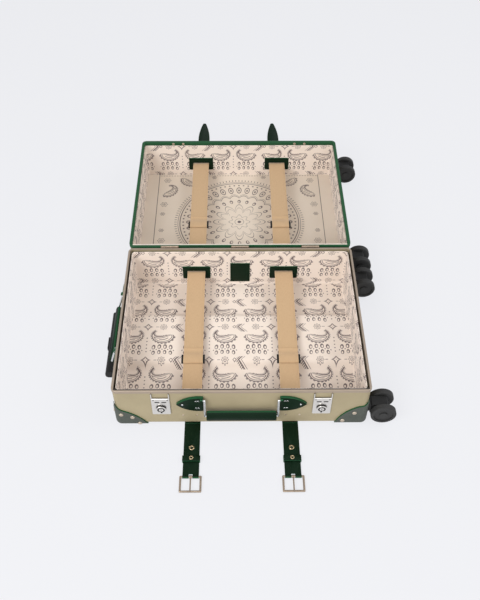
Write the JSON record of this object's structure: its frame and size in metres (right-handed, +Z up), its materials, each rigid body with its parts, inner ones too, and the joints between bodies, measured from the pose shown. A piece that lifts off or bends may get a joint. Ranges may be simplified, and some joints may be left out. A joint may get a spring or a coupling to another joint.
{
  "type": "trolley suitcase",
  "caption": "Hard-sided carry-on trolley case lying open, with leather corners, straps and carry handles, locks, twin-wheel casters, a telescopic handle and a lined inside.",
  "frame": {"origin": "on the floor, in the middle of the open case's outline, straps and buckles included", "axes": "+Y from the carry handle at the front towards the open lid, +Z up, +X towards the casters"},
  "size_m": [0.582, 1.1495, 0.1147],
  "materials": {
    "shell_fibre": "satin vulcanised fibre board, khaki",
    "rim_metal": "satin, warm champagne tone",
    "leather_green": "waxed, dark green with brighter cut edges",
    "lining": "printed cotton, cream with brown paisley",
    "webbing_tan": "woven webbing, tan",
    "chrome": "polished",
    "steel": "satin",
    "black_plastic": "fine texture",
    "wheel_black": "matt",
    "tube_metal": "anodised"
  },
  "bodies": {
    "base": {"base_caster_housings": "black_plastic", "base_corner_guards": "leather_green", "base_hinge_leaves": "steel", "base_lining": "lining", "base_rim_strip": "rim_metal", "base_rivets": "chrome", "base_shell": "shell_fibre", "base_strap_runs": "leather_green", "base_webbing": "webbing_tan", "base_webbing_anchors": "leather_green", "front_handle_patches": "leather_green", "handle_rivets": "chrome", "hinge_pins": "steel", "leather_tag": "leather_green", "lock_plates": "chrome", "side_handle_patches": "leather_green", "trolley_bezel": "black_plastic", "trolley_sleeves": "tube_metal"},
    "lid": {"lid_shell": "shell_fibre", "lid_binding": "leather_green", "lid_lining": "lining", "lid_corner_guards": "leather_green", "lid_rivets": "chrome", "lid_caster_housings": "black_plastic", "lid_strap_runs": "leather_green", "lid_webbing": "webbing_tan", "lid_webbing_anchors": "leather_green", "lid_hinge_leaves": "steel", "hasp_leaves": "chrome"},
    "front_handle": {"front_handle_links": "chrome", "front_handle_grip": "leather_green"},
    "side_handle": {"side_handle_links": "chrome", "side_handle_grip": "leather_green"},
    "trolley_middle": {"trolley_middle_tubes": "tube_metal"},
    "trolley_inner": {"trolley_inner_tubes": "tube_metal", "trolley_grip": "black_plastic"},
    "trolley_button": {"trolley_button": "black_plastic"},
    "base_slider_left": {"base_slider_left": "black_plastic"},
    "base_slider_right": {"base_slider_right": "black_plastic"},
    "caster_fork_base_front": {"caster_fork_base_front": "black_plastic"},
    "caster_fork_base_rear": {"caster_fork_base_rear": "black_plastic"},
    "caster_fork_lid_front": {"caster_fork_lid_front": "black_plastic"},
    "caster_fork_lid_rear": {"caster_fork_lid_rear": "black_plastic"},
    "caster_wheels_base_front": {"caster_wheels_base_front": "wheel_black"},
    "caster_wheels_base_rear": {"caster_wheels_base_rear": "wheel_black"},
    "caster_wheels_lid_front": {"caster_wheels_lid_front": "wheel_black"},
    "caster_wheels_lid_rear": {"caster_wheels_lid_rear": "wheel_black"},
    "hasp_left": {"hasp_left": "chrome"},
    "hasp_right": {"hasp_right": "chrome"},
    "lid_slider_left": {"lid_slider_left": "black_plastic"},
    "lid_slider_right": {"lid_slider_right": "black_plastic"},
    "lock_knob_left": {"lock_knob_left": "chrome"},
    "lock_knob_right": {"lock_knob_right": "chrome"},
    "strap_buckle_left": {"strap_buckle_left": "chrome"},
    "strap_buckle_right": {"strap_buckle_right": "chrome"},
    "strap_flap_left": {"strap_flap_left": "leather_green"},
    "strap_flap_right": {"strap_flap_right": "leather_green"},
    "strap_tip_left": {"strap_tip_left": "leather_green"},
    "strap_tip_right": {"strap_tip_right": "leather_green"}
  },
  "joints": [
    {"name": "lid_hinge", "type": "hinge", "parent": "base", "child": "lid", "pos_m": [-0.00975, -0.04025, 0.1123], "axis": [1, 0, 0], "range_deg": [0, 180]},
    {"name": "front_handle_lift", "type": "hinge", "parent": "base", "child": "front_handle", "pos_m": [-0.00975, -0.43025, 0.088], "axis": [1, 0, 0], "range_deg": [-150, 0]},
    {"name": "side_handle_lift", "type": "hinge", "parent": "base", "child": "side_handle", "pos_m": [-0.25955, -0.23425, 0.088], "axis": [0, 1, 0], "range_deg": [0, 150]},
    {"name": "trolley_lower_stage", "type": "slide", "parent": "base", "child": "trolley_middle", "axis": [-1, 0, 0], "range_m": [0, 0.19]},
    {"name": "trolley_upper_stage", "type": "slide", "parent": "trolley_middle", "child": "trolley_inner", "axis": [-1, 0, 0], "range_m": [0, 0.19]},
    {"name": "trolley_button_press", "type": "slide", "parent": "trolley_inner", "child": "trolley_button", "axis": [1, 0, 0], "range_m": [0, 0.0022], "stiffness_N_per_m": 400},
    {"name": "lock_knob_left_turn", "type": "hinge", "parent": "base", "child": "lock_knob_left", "pos_m": [-0.16375, -0.42645, 0.0565], "axis": [0, 1, 0], "range_deg": [0, 90]},
    {"name": "hasp_left_swing", "type": "hinge", "parent": "lid", "child": "hasp_left", "pos_m": [-0.16375, 0.34735, 0.097], "axis": [1, 0, 0], "range_deg": [0, 180]},
    {"name": "strap_flap_left_bend", "type": "hinge", "parent": "base", "child": "strap_flap_left", "pos_m": [-0.10575, -0.42725, 0.0018], "axis": [1, 0, 0], "range_deg": [-75, 0]},
    {"name": "strap_buckle_left_swing", "type": "hinge", "parent": "strap_flap_left", "child": "strap_buckle_left", "pos_m": [-0.10575, -0.54275, 0.0035], "axis": [1, 0, 0], "range_deg": [-60, 0]},
    {"name": "strap_tip_left_bend", "type": "hinge", "parent": "lid", "child": "strap_tip_left", "pos_m": [-0.10575, 0.34675, 0.0018], "axis": [1, 0, 0], "range_deg": [0, 55]},
    {"name": "base_slider_left_run", "type": "slide", "parent": "base", "child": "base_slider_left", "axis": [0, 0.9988, 0.0498], "range_m": [-0.06, 0.16]},
    {"name": "lid_slider_left_run", "type": "slide", "parent": "lid", "child": "lid_slider_left", "axis": [0, 1, 0], "range_m": [-0.06, 0.2]},
    {"name": "lock_knob_right_turn", "type": "hinge", "parent": "base", "child": "lock_knob_right", "pos_m": [0.14425, -0.42645, 0.0565], "axis": [0, -1, 0], "range_deg": [0, 90]},
    {"name": "hasp_right_swing", "type": "hinge", "parent": "lid", "child": "hasp_right", "pos_m": [0.14425, 0.34735, 0.097], "axis": [1, 0, 0], "range_deg": [0, 180]},
    {"name": "strap_flap_right_bend", "type": "hinge", "parent": "base", "child": "strap_flap_right", "pos_m": [0.08625, -0.42725, 0.0018], "axis": [1, 0, 0], "range_deg": [-75, 0]},
    {"name": "strap_buckle_right_swing", "type": "hinge", "parent": "strap_flap_right", "child": "strap_buckle_right", "pos_m": [0.08625, -0.54275, 0.0035], "axis": [1, 0, 0], "range_deg": [-60, 0]},
    {"name": "strap_tip_right_bend", "type": "hinge", "parent": "lid", "child": "strap_tip_right", "pos_m": [0.08625, 0.34675, 0.0018], "axis": [1, 0, 0], "range_deg": [0, 55]},
    {"name": "base_slider_right_run", "type": "slide", "parent": "base", "child": "base_slider_right", "axis": [0, 0.9988, 0.0498], "range_m": [-0.06, 0.16]},
    {"name": "lid_slider_right_run", "type": "slide", "parent": "lid", "child": "lid_slider_right", "axis": [0, 1, 0], "range_m": [-0.06, 0.2]},
    {"name": "caster_base_front_swivel", "type": "hinge", "parent": "base", "child": "caster_fork_base_front", "pos_m": [0.24055, -0.40625, 0.0425], "axis": [1, 0, 0], "continuous": true},
    {"name": "caster_base_front_roll", "type": "hinge", "parent": "caster_fork_base_front", "child": "caster_wheels_base_front", "pos_m": [0.26605, -0.40625, 0.0335], "axis": [0, 1, 0], "continuous": true},
    {"name": "caster_base_rear_swivel", "type": "hinge", "parent": "base", "child": "caster_fork_base_rear", "pos_m": [0.24055, -0.07525, 0.0425], "axis": [1, 0, 0], "continuous": true},
    {"name": "caster_base_rear_roll", "type": "hinge", "parent": "caster_fork_base_rear", "child": "caster_wheels_base_rear", "pos_m": [0.26605, -0.07525, 0.0335], "axis": [0, 1, 0], "continuous": true},
    {"name": "caster_lid_front_swivel", "type": "hinge", "parent": "lid", "child": "caster_fork_lid_front", "pos_m": [0.24055, 0.32575, 0.0425], "axis": [1, 0, 0], "continuous": true},
    {"name": "caster_lid_front_roll", "type": "hinge", "parent": "caster_fork_lid_front", "child": "caster_wheels_lid_front", "pos_m": [0.26605, 0.32575, 0.0335], "axis": [0, 1, 0], "continuous": true},
    {"name": "caster_lid_rear_swivel", "type": "hinge", "parent": "lid", "child": "caster_fork_lid_rear", "pos_m": [0.24055, -0.00525, 0.0425], "axis": [1, 0, 0], "continuous": true},
    {"name": "caster_lid_rear_roll", "type": "hinge", "parent": "caster_fork_lid_rear", "child": "caster_wheels_lid_rear", "pos_m": [0.26605, -0.00525, 0.0335], "axis": [0, 1, 0], "continuous": true}
  ]
}
